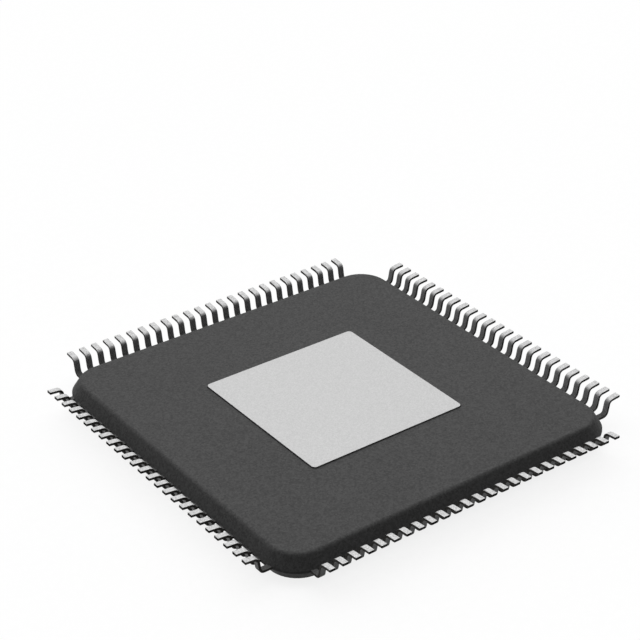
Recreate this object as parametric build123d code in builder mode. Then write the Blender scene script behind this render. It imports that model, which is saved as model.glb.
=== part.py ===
from build123d import *
import os
from math import pi, radians, sin, sqrt, tan

os.makedirs("parts", exist_ok=True)

# A 100-lead thin quad flat pack with an exposed thermal pad, lying on its marked face.
# The origin is the centre of the marked face, and +Z points out of the soldering side.
# All sizes are in millimetres and all angles in degrees.

# Lead frame
leads_per_side = 25
lead_pitch = 0.5
heel_standoff = 0.404
lead_width = 0.21
sheet_thickness = 0.09
foot_length = 0.496
foot_angle = 5.5
leg_lean = 10.0
inner_bend_radius = 0.13
toe_rise = 0.61

# Fanned inner ends of the leads
finger_anchor = 0.425
finger_gap = 1.175
tip_pitch = 0.3
tip_width = 0.16

# Moulded body
body_width = 14.05
body_corner_radius = 1.34
marked_half_height = 0.383
pad_half_height = 0.467
marked_side_draft = 36.0
pad_side_draft = 32.0
soft_edge_radius = 0.17

# Pin 1 recess in the marked face
recess_diameter = 0.6
recess_depth = 0.1
recess_edge_distance = 1.2

# Exposed thermal pad and its tie bars
pad_width = 6.45
pad_corner_radius = 0.18
pad_proud = 0.04
pad_edge_break = 0.03
tie_bar_width = 0.24
tie_bar_slope = 45.0
tie_bar_cover = 0.15
tie_bar_inset = 0.05

# Die and the adhesive under it
die_width = 5.0
die_thickness = 0.25
adhesive_width = 5.2
adhesive_thickness = 0.025

# Bond wires
wire_diameter = 0.025
bond_inset = 0.1
loop_reach = 0.7
loop_level = 0.23
stitch_reach = 0.38

# Reaches from the middle and levels worked out from the sizes above
heel_reach = body_width / 2 + heel_standoff
fan_start = body_width / 2 - finger_anchor
fan_end = pad_width / 2 + finger_gap
sheet_bottom = marked_half_height
sheet_top = sheet_bottom + sheet_thickness
body_top = sheet_top + pad_half_height
pad_top = body_top + pad_proud
pad_bottom = pad_top - sheet_thickness
adhesive_bottom = pad_bottom - adhesive_thickness
die_bottom = adhesive_bottom - die_thickness
recess_place = body_width / 2 - recess_edge_distance


def lead_places():
    """Number of pitches of each lead of a row from the middle of its side."""
    middle = (leads_per_side - 1) / 2
    return [index - middle for index in range(leads_per_side)]


def finger_middle(place, x):
    """Sideways place of the middle line of a finger at this x. Its wire keeps to the same line."""
    fan_slope = (lead_pitch - tip_pitch) / (fan_start - fan_end)
    return place * (tip_pitch + fan_slope * (x - fan_end))


def bend(before, corner, after, radius, far_radius):
    """Start, middle and end of a bend on both faces of the strip; each of its halves is left straight."""
    way_in = (before - corner).normalized()
    way_out = (after - corner).normalized()
    half_angle = radians(way_in.get_angle(way_out)) / 2
    tangent = radius / tan(half_angle)
    centre = corner + (way_in + way_out).normalized() * (radius / sin(half_angle))
    middle = centre + (corner - centre).normalized() * radius
    near = [corner + way_in * tangent, middle, corner + way_out * tangent]
    far = [centre + (point - centre) * (far_radius / radius) for point in near]
    return near, far


# Side view of one lead, outwards along X: foot, leg, shoulder and the run into the body
outer_bend_radius = inner_bend_radius + sheet_thickness
toe = Vector(heel_reach + foot_length, sheet_top + toe_rise)
heel = toe - Vector(foot_length, foot_length * tan(radians(foot_angle)))
leg_drop = heel.Y - sheet_top
shoulder = heel - Vector(leg_drop * tan(radians(leg_lean)), leg_drop)
run_end = Vector(fan_start, sheet_top)
heel_near, heel_far = bend(toe, heel, shoulder, outer_bend_radius, inner_bend_radius)
shoulder_near, shoulder_far = bend(heel, shoulder, run_end, inner_bend_radius, outer_bend_radius)
with BuildSketch() as gull_wing:
    with BuildLine():
        Polyline(
            toe,
            *heel_near,
            *shoulder_near,
            run_end,
            (fan_start, sheet_bottom),
            *reversed(shoulder_far),
            *reversed(heel_far),
            toe + heel_far[0] - heel_near[0],
            close=True,
        )
    make_face()


# One row of leads on the +X side, each lead a solid of its own
with BuildPart() as lead_row:
    for place in lead_places():
        with BuildSketch(Plane.XZ.offset(-place * lead_pitch)):
            add(gull_wing.sketch)
    extrude(amount=lead_width / 2, both=True)
    with BuildSketch(Plane.XY.offset(sheet_bottom)):
        for place in lead_places():
            root = finger_middle(place, fan_start)
            tip = finger_middle(place, fan_end)
            with BuildLine():
                Polyline(
                    (fan_start, root - lead_width / 2),
                    (fan_start, root + lead_width / 2),
                    (fan_end, tip + tip_width / 2),
                    (fan_end, tip - tip_width / 2),
                    close=True,
                )
            make_face()
    extrude(amount=sheet_thickness)


# Bond wires of the same row, from the die to the fingers. A three-sided section stands for the round wire
wire_radius = wire_diameter * sqrt(pi / (3 * sqrt(3)))
wire_stations = [
    (die_width / 2 - bond_inset, die_bottom + wire_radius),
    (die_width / 2 + loop_reach, loop_level),
    (fan_end + stitch_reach, sheet_bottom + wire_diameter),
]
with BuildPart() as wire_row:
    for place in lead_places():
        stations = [(x, finger_middle(place, x), z) for x, z in wire_stations]
        with BuildLine() as wire_path:
            Polyline(*stations)
        start_way = wire_path.line % 0
        with BuildSketch(Plane(wire_path.line @ 0, x_dir=(-start_way.Y, start_way.X, 0), z_dir=start_way)):
            RegularPolygon(wire_radius, side_count=3, rotation=-90)
        sweep(transition=Transition.RIGHT)
    add(lead_row.part, mode=Mode.SUBTRACT)
    with Locations((0, 0, die_bottom)):
        Box(die_width, die_width, die_thickness, align=(Align.CENTER, Align.CENTER, Align.MIN), mode=Mode.SUBTRACT)


# Both rows turned onto each side of the package
side_names = ["right", "rear", "left", "front"]
embedded = []
for row_name, row in (("leads", lead_row), ("bond_wires", wire_row)):
    for quarter, side_name in enumerate(side_names):
        with BuildPart() as turned_row:
            add(row.part, rotation=(0, 0, 90 * quarter))
        turned_row.part.label = f"{row_name}_{side_name}"
        embedded.append(turned_row.part)
        export_step(turned_row.part, f"parts/{row_name}_{side_name}.step")


# Thermal pad, punched from the same sheet as the leads, with a tie bar down to lead level at each corner
pad_corner_reach = (pad_width / 2 - pad_corner_radius) * sqrt(2) + pad_corner_radius
body_corner_reach = (body_width / 2 - body_corner_radius) * sqrt(2) + body_corner_radius
bar_outside = pad_corner_reach - tie_bar_inset
bar_inside = bar_outside - sheet_thickness / sin(radians(tie_bar_slope))
bar_end = body_corner_reach - tie_bar_cover
with BuildSketch() as tie_bar:
    with BuildLine():
        Polyline(
            (bar_inside, pad_bottom),
            (bar_outside, pad_bottom),
            (bar_outside + (pad_bottom - sheet_top) / tan(radians(tie_bar_slope)), sheet_top),
            (bar_end, sheet_top),
            (bar_end, sheet_bottom),
            (bar_inside + (pad_bottom - sheet_bottom) / tan(radians(tie_bar_slope)), sheet_bottom),
            close=True,
        )
    make_face()

with BuildPart() as thermal_pad:
    with BuildSketch(Plane.XY.offset(pad_bottom)):
        RectangleRounded(pad_width, pad_width, pad_corner_radius)
    extrude(amount=sheet_thickness)
    chamfer(faces().sort_by(Axis.Z)[-1].edges(), length=pad_edge_break)
    for corner in range(4):
        with BuildSketch(Plane.XZ.rotated((0, 0, 45 + 90 * corner))):
            add(tie_bar.sketch)
    extrude(amount=tie_bar_width / 2, both=True)
thermal_pad.part.label = "thermal_pad"
export_step(thermal_pad.part, "parts/thermal_pad.step")


# Die on its layer of adhesive, hanging under the pad in this position
with BuildPart() as die_adhesive:
    with BuildSketch(Plane.XY.offset(adhesive_bottom)):
        Rectangle(adhesive_width, adhesive_width)
    extrude(amount=adhesive_thickness)
die_adhesive.part.label = "die_adhesive"
export_step(die_adhesive.part, "parts/die_adhesive.step")

with BuildPart() as silicon_die:
    with BuildSketch(Plane.XY.offset(die_bottom)):
        Rectangle(die_width, die_width)
    extrude(amount=die_thickness)
silicon_die.part.label = "silicon_die"
export_step(silicon_die.part, "parts/silicon_die.step")


# Moulded body: an upright band as thick as the leads, a drafted half on each side of it,
# and a cavity that fits each piece it was moulded round
with BuildPart() as moulded_body:
    with BuildSketch(Plane.XY.offset(sheet_bottom)) as parting_outline:
        RectangleRounded(body_width, body_width, body_corner_radius)
    extrude(amount=sheet_thickness)
    with BuildSketch(Plane.XY.offset(sheet_top)):
        add(parting_outline.sketch_local)
    extrude(amount=pad_half_height, taper=pad_side_draft)
    fillet(faces().sort_by(Axis.Z)[-1].edges(), radius=soft_edge_radius)
    with BuildSketch(Plane.XY.offset(sheet_bottom)):
        add(parting_outline.sketch_local)
    extrude(amount=-marked_half_height, taper=marked_side_draft)
    with BuildSketch(Plane.XY):
        with Locations((-recess_place, -recess_place)):
            Circle(recess_diameter / 2)
    extrude(amount=recess_depth, mode=Mode.SUBTRACT)
    add([thermal_pad.part, die_adhesive.part, silicon_die.part], mode=Mode.SUBTRACT)
    add(embedded, mode=Mode.SUBTRACT)
moulded_body.part.label = "moulded_body"
export_step(moulded_body.part, "parts/moulded_body.step")
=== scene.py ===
from math import cos, pi, radians, sin, tan

import bmesh
import bpy
from mathutils import Euler, Matrix, Vector


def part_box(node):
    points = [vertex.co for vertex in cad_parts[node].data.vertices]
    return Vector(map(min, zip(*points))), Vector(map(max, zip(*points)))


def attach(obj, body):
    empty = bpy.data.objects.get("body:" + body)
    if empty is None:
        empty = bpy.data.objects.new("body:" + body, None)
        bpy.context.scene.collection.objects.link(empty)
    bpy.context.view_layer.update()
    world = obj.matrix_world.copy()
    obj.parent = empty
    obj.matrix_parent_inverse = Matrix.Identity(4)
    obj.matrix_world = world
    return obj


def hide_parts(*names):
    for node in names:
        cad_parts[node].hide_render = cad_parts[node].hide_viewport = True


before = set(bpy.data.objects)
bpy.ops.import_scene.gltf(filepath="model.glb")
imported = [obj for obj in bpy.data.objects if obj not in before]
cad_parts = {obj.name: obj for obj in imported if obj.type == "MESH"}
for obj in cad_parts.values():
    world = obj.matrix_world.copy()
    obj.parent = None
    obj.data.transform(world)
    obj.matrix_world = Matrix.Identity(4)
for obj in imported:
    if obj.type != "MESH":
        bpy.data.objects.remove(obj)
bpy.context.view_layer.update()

# The part lies on its marked face, with the feet and the thermal pad up. The origin is the middle of the marked
# face, and lengths are in metres
MM = 0.001
scene = bpy.context.scene


def linear(hex_colour):
    """An sRGB colour such as "#8a8d90" as linear red, green, blue and an alpha of 1."""
    parts = [int(hex_colour[i : i + 2], 16) / 255 for i in (1, 3, 5)]
    return [c / 12.92 if c <= 0.04045 else ((c + 0.055) / 1.055) ** 2.4 for c in parts] + [1.0]


def add(tree, kind, inputs=None, **settings):
    """Adds a node, sets its properties, and gives each named or numbered input a value or a link.

    A node given as a value is linked from the first output that it has in use.
    """
    made = tree.nodes.new(kind)
    for name, value in settings.items():
        setattr(made, name, value)
    sockets = [socket for socket in made.inputs if socket.enabled]
    for key, value in (inputs or {}).items():
        socket = sockets[key] if isinstance(key, int) else next(s for s in sockets if s.name == key)
        if isinstance(value, bpy.types.Node):
            value = next(output for output in value.outputs if output.enabled)
        if isinstance(value, bpy.types.NodeSocket):
            tree.links.new(value, socket)
        else:
            socket.default_value = value
    return made


def new_material(name):
    """An empty material, its tree, and its coordinates in the part's own frame, in metres."""
    material = bpy.data.materials.new(name)
    material.use_nodes = True
    tree = material.node_tree
    tree.nodes.clear()
    place = add(tree, "ShaderNodeTexCoord").outputs["Object"]
    return material, tree, place


# Nearly all of a noise pattern lies between these values, which are stretched to the whole range
NOISE_SPREAD = {"From Min": 0.3, "From Max": 0.7}


# Epoxy mould compound, moulded in a spark-eroded tool: dull charcoal, with the silica filler as a very fine
# speckle. The grains are drawn at the coarse end of the real ones, because finer ones don't show
def mould_compound():
    grain_size = 0.055 * MM
    pit_size = 0.1 * MM
    pit_depth = 0.01 * MM
    flow_mark = 3.0 * MM
    flow_share = 0.3
    material, tree, place = new_material("Silica-filled epoxy mould compound")
    grain = add(tree, "ShaderNodeTexVoronoi", {"Vector": place, "Scale": 1 / grain_size}).outputs["Color"]
    grain = add(tree, "ShaderNodeSeparateColor", {"Color": grain})
    pit = add(tree, "ShaderNodeTexNoise", {"Vector": place, "Scale": 1 / pit_size, "Detail": 2.0})
    flow = add(tree, "ShaderNodeTexNoise", {"Vector": place, "Scale": 1 / flow_mark, "Detail": 3.0})
    speckle = add(tree, "ShaderNodeMath", {0: flow, 1: flow_share, 2: grain}, operation="MULTIPLY_ADD")
    amount = add(tree, "ShaderNodeMapRange", {"Value": speckle, "From Min": 0.0, "From Max": 1 + flow_share})
    colour = add(
        tree,
        "ShaderNodeMix",
        {"Factor": amount, "A": linear("#2f2f2f"), "B": linear("#474747")},
        data_type="RGBA",
    )
    relief = add(tree, "ShaderNodeBump", {"Height": pit, "Distance": pit_depth, "Strength": 0.6})
    roughness = add(tree, "ShaderNodeMapRange", {"Value": pit, **NOISE_SPREAD, "To Min": 0.68, "To Max": 0.8})
    surface = add(
        tree,
        "ShaderNodeBsdfPrincipled",
        {"Base Color": colour, "Roughness": roughness, "Normal": relief, "Specular IOR Level": 0.2},
    )
    add(tree, "ShaderNodeOutputMaterial", {"Surface": surface})
    return material


# Matte tin, plated on copper strip and bent with it: pale grey and satin with a fine crystal grain on the
# flat feet, with painted shade on the bends and down the legs, which face less upwards: a dull grey there,
# less metallic and rougher, and a darker grey as deeper painted shade where the strip leaves the body. The
# crystals are drawn about ten times too coarse, so that they show
def lead_tin():
    grain_size = 0.05 * MM
    grain_depth = 0.006 * MM
    # How far up the bends, painted in shade, and the flat feet face, as the height of the normal
    bend_facing = 0.5
    foot_facing = 0.99
    # Heights up to which the painted shade and the deeper painted shade near the body are full, and at which
    # each has ended
    shade_full = 0.5 * MM
    shade_end = 0.9 * MM
    deep_shade_full = 0.47 * MM
    deep_shade_end = 0.62 * MM
    material, tree, place = new_material("Matte tin plate on the leads")
    grain = add(tree, "ShaderNodeTexNoise", {"Vector": place, "Scale": 1 / grain_size, "Detail": 2.0})
    amount = add(tree, "ShaderNodeMapRange", {"Value": grain, **NOISE_SPREAD})
    fresh = add(
        tree,
        "ShaderNodeMix",
        {"Factor": amount, "A": linear("#b0b0b0"), "B": linear("#e4e4e4")},
        data_type="RGBA",
    )
    # Painted shade: the dull grey that the bends and the legs get, because they face less upwards and stand
    # lower
    painted_shade_tin = add(
        tree,
        "ShaderNodeMix",
        {"Factor": amount, "A": linear("#767676"), "B": linear("#8c8c8c")},
        data_type="RGBA",
    )
    # Deeper painted shade, for where the strip leaves the body
    deep_shade_tin = add(
        tree,
        "ShaderNodeMix",
        {"Factor": amount, "A": linear("#404040"), "B": linear("#505050")},
        data_type="RGBA",
    )
    facing = add(tree, "ShaderNodeNewGeometry").outputs["Normal"]
    facing = add(tree, "ShaderNodeSeparateXYZ", {"Vector": facing}).outputs["Z"]
    facing = add(tree, "ShaderNodeMath", {0: facing}, operation="ABSOLUTE")
    flat = add(
        tree, "ShaderNodeMapRange", {"Value": facing, "From Min": bend_facing, "From Max": foot_facing}
    )
    height = add(tree, "ShaderNodeSeparateXYZ", {"Vector": place}).outputs["Z"]
    above_leg = add(
        tree, "ShaderNodeMapRange", {"Value": height, "From Min": shade_full, "From Max": shade_end}
    )
    # Plain tin where the lead faces up and stands high, and painted shade elsewhere; this also sets the metal's
    # share and the roughness
    unshaded = add(tree, "ShaderNodeMath", {0: flat, 1: above_leg}, operation="MULTIPLY")
    above_deep_shade = add(
        tree, "ShaderNodeMapRange", {"Value": height, "From Min": deep_shade_full, "From Max": deep_shade_end}
    )
    # The painted shade turns darker towards the body
    dull = add(tree, "ShaderNodeMix", {"Factor": above_deep_shade, "A": deep_shade_tin, "B": painted_shade_tin}, data_type="RGBA")
    colour = add(tree, "ShaderNodeMix", {"Factor": unshaded, "A": dull, "B": fresh}, data_type="RGBA")
    relief = add(tree, "ShaderNodeBump", {"Height": grain, "Distance": grain_depth, "Strength": 0.7})
    roughness = add(tree, "ShaderNodeMapRange", {"Value": unshaded, "To Min": 0.62, "To Max": 0.5})
    surface = add(
        tree,
        "ShaderNodeBsdfPrincipled",
        {
            "Base Color": colour,
            "Metallic": unshaded,
            "Roughness": roughness,
            "Normal": relief,
            "Specular IOR Level": 0.2,
        },
    )
    add(tree, "ShaderNodeOutputMaterial", {"Surface": surface})
    return material


# Edges where the strip was cut: copper without sheen, painted a dark grey as painted shade, which draws each
# lead with a dark line. The painted shade is nearly black on the toe ends. The grain is drawn coarser than
# the real one, so that it shows
def cut_copper(name, darkest, lightest):
    grain_size = 0.06 * MM
    material, tree, place = new_material(name)
    grain = add(tree, "ShaderNodeTexNoise", {"Vector": place, "Scale": 1 / grain_size, "Detail": 2.0})
    amount = add(tree, "ShaderNodeMapRange", {"Value": grain, **NOISE_SPREAD})
    colour = add(
        tree,
        "ShaderNodeMix",
        {"Factor": amount, "A": linear(darkest), "B": linear(lightest)},
        data_type="RGBA",
    )
    roughness = add(tree, "ShaderNodeMapRange", {"Value": grain, "To Min": 0.6, "To Max": 0.75})
    surface = add(
        tree,
        "ShaderNodeBsdfPrincipled",
        {"Base Color": colour, "Roughness": roughness, "Specular IOR Level": 0.05},
    )
    add(tree, "ShaderNodeOutputMaterial", {"Surface": surface})
    return material


# Matte tin on the flat thermal pad: an even pale grey with a grain that is only just seen, drawn coarser than
# the real crystals so that it shows at all, and dark grey as painted shade on its steep cut edge
def pad_tin():
    grain_size = 0.04 * MM
    grain_depth = 0.002 * MM
    # How far up the cut edge and the flat face look, as the height of the normal
    edge_facing = 0.75
    flat_facing = 0.95
    material, tree, place = new_material("Matte tin plate on the thermal pad")
    grain = add(tree, "ShaderNodeTexNoise", {"Vector": place, "Scale": 1 / grain_size, "Detail": 2.0})
    amount = add(tree, "ShaderNodeMapRange", {"Value": grain, **NOISE_SPREAD})
    plate = add(
        tree,
        "ShaderNodeMix",
        {"Factor": amount, "A": linear("#b2b2b2"), "B": linear("#c3c3c3")},
        data_type="RGBA",
    )
    facing = add(tree, "ShaderNodeNewGeometry").outputs["Normal"]
    facing = add(tree, "ShaderNodeSeparateXYZ", {"Vector": facing}).outputs["Z"]
    flat = add(
        tree, "ShaderNodeMapRange", {"Value": facing, "From Min": edge_facing, "From Max": flat_facing}
    )
    # Faces that look less upwards than the flat top get a dark grey as painted shade
    colour = add(
        tree,
        "ShaderNodeMix",
        {"Factor": flat, "A": linear("#2a2a2a"), "B": plate},
        data_type="RGBA",
    )
    relief = add(tree, "ShaderNodeBump", {"Height": grain, "Distance": grain_depth, "Strength": 0.4})
    roughness = add(tree, "ShaderNodeMapRange", {"Value": grain, "To Min": 0.5, "To Max": 0.6})
    surface = add(
        tree,
        "ShaderNodeBsdfPrincipled",
        {"Base Color": colour, "Metallic": 1.0, "Roughness": roughness, "Normal": relief},
    )
    add(tree, "ShaderNodeOutputMaterial", {"Surface": surface})
    return material


# Silicon ground flat on its back: dark blue-grey, half bright, with faint grinding marks
def ground_silicon():
    mark_length = 0.4 * MM
    mark_width = 0.05 * MM
    material, tree, place = new_material("Ground silicon")
    marks = add(tree, "ShaderNodeMapping", {"Vector": place, "Scale": (1.0, mark_length / mark_width, 1.0)})
    marks = add(tree, "ShaderNodeTexNoise", {"Vector": marks, "Scale": 1 / mark_length, "Detail": 2.0})
    colour = add(
        tree,
        "ShaderNodeMix",
        {"Factor": marks, "A": linear("#50555c"), "B": linear("#666b72")},
        data_type="RGBA",
    )
    roughness = add(tree, "ShaderNodeMapRange", {"Value": marks, "To Min": 0.25, "To Max": 0.4})
    surface = add(
        tree, "ShaderNodeBsdfPrincipled", {"Base Color": colour, "Metallic": 0.4, "Roughness": roughness}
    )
    add(tree, "ShaderNodeOutputMaterial", {"Surface": surface})
    return material


# Cured epoxy filled with silver flakes: pale grey paste with a dull glint
def silver_paste():
    flake_size = 0.03 * MM
    material, tree, place = new_material("Cured silver-filled epoxy")
    flakes = add(tree, "ShaderNodeTexVoronoi", {"Vector": place, "Scale": 1 / flake_size}).outputs["Color"]
    flakes = add(tree, "ShaderNodeSeparateColor", {"Color": flakes})
    colour = add(
        tree,
        "ShaderNodeMix",
        {"Factor": flakes, "A": linear("#9b9b98"), "B": linear("#b8b8b5")},
        data_type="RGBA",
    )
    roughness = add(tree, "ShaderNodeMapRange", {"Value": flakes, "To Min": 0.5, "To Max": 0.7})
    surface = add(
        tree, "ShaderNodeBsdfPrincipled", {"Base Color": colour, "Metallic": 0.3, "Roughness": roughness}
    )
    add(tree, "ShaderNodeOutputMaterial", {"Surface": surface})
    return material


# Drawn gold wire: yellow and bright, with a slight unevenness along it
def gold_wire():
    grain_size = 0.05 * MM
    material, tree, place = new_material("Drawn gold wire")
    grain = add(tree, "ShaderNodeTexNoise", {"Vector": place, "Scale": 1 / grain_size, "Detail": 1.0})
    colour = add(
        tree,
        "ShaderNodeMix",
        {"Factor": grain, "A": linear("#d8a94f"), "B": linear("#e6bc68")},
        data_type="RGBA",
    )
    roughness = add(tree, "ShaderNodeMapRange", {"Value": grain, "To Min": 0.2, "To Max": 0.3})
    surface = add(
        tree, "ShaderNodeBsdfPrincipled", {"Base Color": colour, "Metallic": 1.0, "Roughness": roughness}
    )
    add(tree, "ShaderNodeOutputMaterial", {"Surface": surface})
    return material


strip_tin = lead_tin()
# The punched sides are painted dark grey and the toe ends near black, as painted shade
punched_side = cut_copper("Copper on the strip's punched sides, painted dark as shade", "#403f3d", "#555351")
sheared_toe = cut_copper("Copper on the sheared toe ends, painted near black as shade", "#141413", "#20201f")
finishes = {
    "moulded_body": mould_compound(),
    "thermal_pad": pad_tin(),
    "silicon_die": ground_silicon(),
    "die_adhesive": silver_paste(),
    "bond_wires": gold_wire(),
    "leads": strip_tin,
}
for name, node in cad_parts.items():
    node.data.materials.clear()
    node.data.materials.append(next(finishes[start] for start in finishes if name.startswith(start)))


# Leads: a strip drawn from the toe, bent at the heel and the shoulder, and fanned in towards the die inside
# the body. The toe, the level of the strip and the inner end are where the solid leads have them
STRIP_THICKNESS = 0.09 * MM
LEAD_WIDTH = 0.21 * MM
LEADS_PER_SIDE = 25
LEAD_PITCH = 0.5 * MM
FOOT_LENGTH = 0.496 * MM
FOOT_ANGLE = radians(5.5)
LEG_LEAN = radians(10.0)
INNER_BEND = 0.13 * MM
OUTER_BEND = INNER_BEND + STRIP_THICKNESS
BEND_STEPS = 5
FINGER_ANCHOR = 0.425 * MM
TIP_WIDTH = 0.16 * MM
TIP_PITCH = 0.3 * MM

ROW_LOW, ROW_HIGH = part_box("leads_right")
SHEET_TOP = ROW_LOW.z + STRIP_THICKNESS
TOE_REACH = ROW_HIGH.x - STRIP_THICKNESS * sin(FOOT_ANGLE)
HEEL = Vector((TOE_REACH - FOOT_LENGTH, 0, ROW_HIGH.z - FOOT_LENGTH * tan(FOOT_ANGLE)))
FAN_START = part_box("moulded_body")[1].x - FINGER_ANCHOR
FAN_END = ROW_LOW.x

# A face that looks this far sideways is a cut side of the strip, and a corner sharper than this is an edge
SIDE_FACING = 0.7
EDGE_ANGLE = radians(30)


def with_outline(face):
    """The face with its edges and corners, so that drawing it on leaves no old end inside the strip."""
    return [face, *face.edges, *face.verts]


def push(bm, end, move):
    """Draws the strip's end on by a straight move, and returns the new end."""
    made = bmesh.ops.extrude_face_region(bm, geom=with_outline(end))["geom"]
    bmesh.ops.translate(bm, verts=[v for v in made if isinstance(v, bmesh.types.BMVert)], vec=move)
    return next(f for f in made if isinstance(f, bmesh.types.BMFace))


def turn(bm, end, centre, angle):
    """Draws the strip's end round a bend in the lead's upright plane, and returns the new end."""
    made = bmesh.ops.spin(
        bm,
        geom=with_outline(end),
        cent=centre,
        axis=(0, 1, 0),
        dvec=(0, 0, 0),
        angle=angle,
        steps=BEND_STEPS,
        use_duplicate=False,
    )["geom_last"]
    return next(f for f in made if isinstance(f, bmesh.types.BMFace))


def draw_lead(bm, place):
    """One lead of the row on the +X side, at this number of pitches from the middle."""
    heel_turn = pi / 2 - FOOT_ANGLE - LEG_LEAN
    shoulder_turn = pi / 2 - LEG_LEAN
    heel_tangent = OUTER_BEND * tan(heel_turn / 2)
    shoulder_tangent = INNER_BEND * tan(shoulder_turn / 2)
    foot_way = Vector((-cos(FOOT_ANGLE), 0, -sin(FOOT_ANGLE)))
    foot_up = Vector((-sin(FOOT_ANGLE), 0, cos(FOOT_ANGLE)))
    leg_way = Vector((-sin(LEG_LEAN), 0, -cos(LEG_LEAN)))
    leg_in = Vector((-cos(LEG_LEAN), 0, sin(LEG_LEAN)))
    leg_length = (HEEL.z - SHEET_TOP) / cos(LEG_LEAN)

    heel = HEEL + Vector((0, place * LEAD_PITCH, 0))
    toe = heel - foot_way * FOOT_LENGTH / cos(FOOT_ANGLE)
    half = Vector((0, LEAD_WIDTH / 2, 0))
    under = -foot_up * STRIP_THICKNESS
    corners = [bm.verts.new(toe + offset) for offset in (-half, half, half + under, -half + under)]
    end = bm.faces.new(corners)
    heel_start = heel - foot_way * heel_tangent
    end = push(bm, end, heel_start - toe)
    end = turn(bm, end, heel_start - foot_up * OUTER_BEND, -heel_turn)
    end = push(bm, end, leg_way * (leg_length - heel_tangent - shoulder_tangent))
    shoulder_start = heel + leg_way * (leg_length - shoulder_tangent)
    end = turn(bm, end, shoulder_start + leg_in * INNER_BEND, shoulder_turn)
    run = HEEL.x - sin(LEG_LEAN) * leg_length - shoulder_tangent - FAN_START
    end = push(bm, end, Vector((-run, 0, 0)))
    end = push(bm, end, Vector((FAN_END - FAN_START, place * (TIP_PITCH - LEAD_PITCH), 0)))
    middle = Matrix.Translation((0, -place * TIP_PITCH, 0))
    bmesh.ops.scale(bm, vec=(1, TIP_WIDTH / LEAD_WIDTH, 1), space=middle, verts=end.verts)


def settle_order(bm):
    """Numbers corners, edges and faces by place, because the operators' own order changes from run to run."""
    for number, corner in enumerate(sorted(bm.verts, key=lambda corner: tuple(corner.co))):
        corner.index = number
    bm.verts.sort()
    for elements in (bm.edges, bm.faces):
        in_order = sorted(elements, key=lambda element: sorted(corner.index for corner in element.verts))
        for number, element in enumerate(in_order):
            element.index = number
        elements.sort()


def draw_row(name, quarter):
    """A row of leads, smooth in their bends and sharp at their edges, turned from the +X side to its own."""
    bm = bmesh.new()
    for index in range(LEADS_PER_SIDE):
        draw_lead(bm, index - (LEADS_PER_SIDE - 1) / 2)
    settle_order(bm)
    bmesh.ops.recalc_face_normals(bm, faces=bm.faces)
    for face in bm.faces:
        face.smooth = True
        # The cut sides and the toe ends get the copper finishes that are painted dark as shade
        if abs(face.normal.y) > SIDE_FACING:
            face.material_index = 1
        elif face.calc_center_median().x > TOE_REACH - STRIP_THICKNESS / 2:
            face.material_index = 2
    for edge in bm.edges:
        edge.smooth = edge.calc_face_angle() < EDGE_ANGLE
    bmesh.ops.rotate(bm, cent=(0, 0, 0), matrix=Matrix.Rotation(quarter * pi / 2, 3, "Z"), verts=bm.verts)
    mesh = bpy.data.meshes.new(name)
    bm.to_mesh(mesh)
    bm.free()
    for material in (strip_tin, punched_side, sheared_toe):
        mesh.materials.append(material)
    row = bpy.data.objects.new(name, mesh)
    scene.collection.objects.link(row)
    return row


for quarter, side_name in enumerate(("right", "rear", "left", "front")):
    row = draw_row(f"formed_leads_{side_name}", quarter)
    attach(row, "root")
    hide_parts(f"leads_{side_name}")


def shown(tree):
    """1 for what is seen straight, or in a reflection or through glass, and 0 for what only gives light."""
    rays = add(tree, "ShaderNodeLightPath").outputs
    seen = add(
        tree, "ShaderNodeMath", {0: rays["Is Camera Ray"], 1: rays["Is Glossy Ray"]}, operation="MAXIMUM"
    )
    return add(tree, "ShaderNodeMath", {0: seen, 1: rays["Is Transmission Ray"]}, operation="MAXIMUM")


# Floor: a plain card, a hair under the marked face that the part lies on, so that the two faces don't mix. It
# throws light back as grey card does, and to the eye it is white: a share of that is its own, to match the
# backdrop, and the rest keeps the part's shadow
CARD_REACH = 3.0
CARD_LEVEL = -0.01 * MM
CARD_WHITE = 0.85


def white_card():
    fibre_size = 0.3 * MM
    material, tree, place = new_material("White card")
    fibre = add(tree, "ShaderNodeTexNoise", {"Vector": place, "Scale": 1 / fibre_size, "Detail": 2.0})
    white = add(
        tree,
        "ShaderNodeMix",
        {"Factor": fibre, "A": linear("#fdfdfd"), "B": linear("#ffffff")},
        data_type="RGBA",
    )
    seen = shown(tree)
    colour = add(
        tree,
        "ShaderNodeMix",
        {"Factor": seen, "A": linear("#949494"), "B": white},
        data_type="RGBA",
    )
    card = add(tree, "ShaderNodeBsdfDiffuse", {"Color": colour})
    glow = add(tree, "ShaderNodeEmission", {"Color": white, "Strength": 1.0})
    share = add(tree, "ShaderNodeMath", {0: seen, 1: CARD_WHITE}, operation="MULTIPLY")
    surface = add(tree, "ShaderNodeMixShader", {0: share, 1: card, 2: glow})
    add(tree, "ShaderNodeOutputMaterial", {"Surface": surface})
    return material


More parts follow.
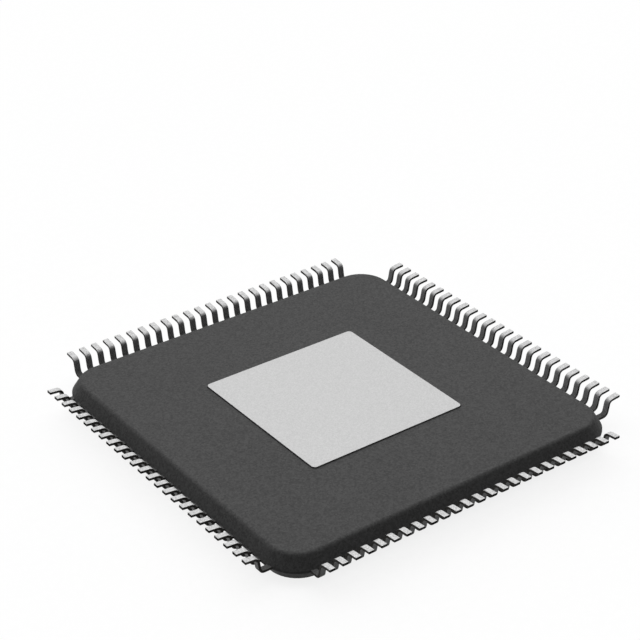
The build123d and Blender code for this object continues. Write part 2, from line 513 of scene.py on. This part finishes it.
bm = bmesh.new()
card_place = Matrix.Translation((0, 0, CARD_LEVEL))
bmesh.ops.create_grid(bm, x_segments=1, y_segments=1, size=CARD_REACH, matrix=card_place)
floor_mesh = bpy.data.meshes.new("floor")
bm.to_mesh(floor_mesh)
bm.free()
floor_mesh.materials.append(white_card())
floor = bpy.data.objects.new("floor", floor_mesh)
scene.collection.objects.link(floor)

# Light: a studio dome, brightest above and behind the part and dark towards the camera, and white to the eye.
# Its light is full until the cosine of the angle to the bright way has fallen to DOME_FULL, and none is left at
# DOME_DARK
BRIGHT_WAY = (0.28, 0.67, 0.69)
DOME_LIGHT = 2.4
DOME_FULL = 0.9
DOME_DARK = 0.3


def studio_dome():
    world = bpy.data.worlds.new("Studio dome")
    world.use_nodes = True
    tree = world.node_tree
    tree.nodes.clear()
    way = add(tree, "ShaderNodeTexCoord").outputs["Generated"]
    along = add(tree, "ShaderNodeVectorMath", {0: way, 1: BRIGHT_WAY}, operation="DOT_PRODUCT")
    level = add(
        tree,
        "ShaderNodeMapRange",
        {"Value": along, "From Min": DOME_DARK, "From Max": DOME_FULL, "To Min": 0.0, "To Max": DOME_LIGHT},
    )
    light = add(tree, "ShaderNodeBackground", {"Color": linear("#ffffff"), "Strength": level})
    white = add(tree, "ShaderNodeBackground", {"Color": linear("#ffffff"), "Strength": 1.0})
    surface = add(tree, "ShaderNodeMixShader", {0: shown(tree), 1: light, 2: white})
    add(tree, "ShaderNodeOutputWorld", {"Surface": surface})
    return world


scene.world = studio_dome()

# Camera: its place, its angle and its lens fitted to the outlines of the body, the pad and the toes in the
# photograph
CAMERA_PLACE = Vector((-31.8444, -41.9656, 34.3998)) * MM
VIEW_AZIMUTH = radians(53.300)
VIEW_ELEVATION = radians(29.98)
LENS = 100.19
SENSOR_WIDTH = 36.0
camera_data = bpy.data.cameras.new("camera")
camera_data.lens = LENS
camera_data.sensor_width = SENSOR_WIDTH
camera_data.clip_start = 0.001
camera_data.clip_end = 10.0
camera = bpy.data.objects.new("camera", camera_data)
camera.location = CAMERA_PLACE
camera.rotation_euler = Euler((pi / 2 - VIEW_ELEVATION, 0, VIEW_AZIMUTH - pi / 2), "XYZ")
scene.collection.objects.link(camera)
scene.camera = camera
scene.view_settings.view_transform = "Standard"
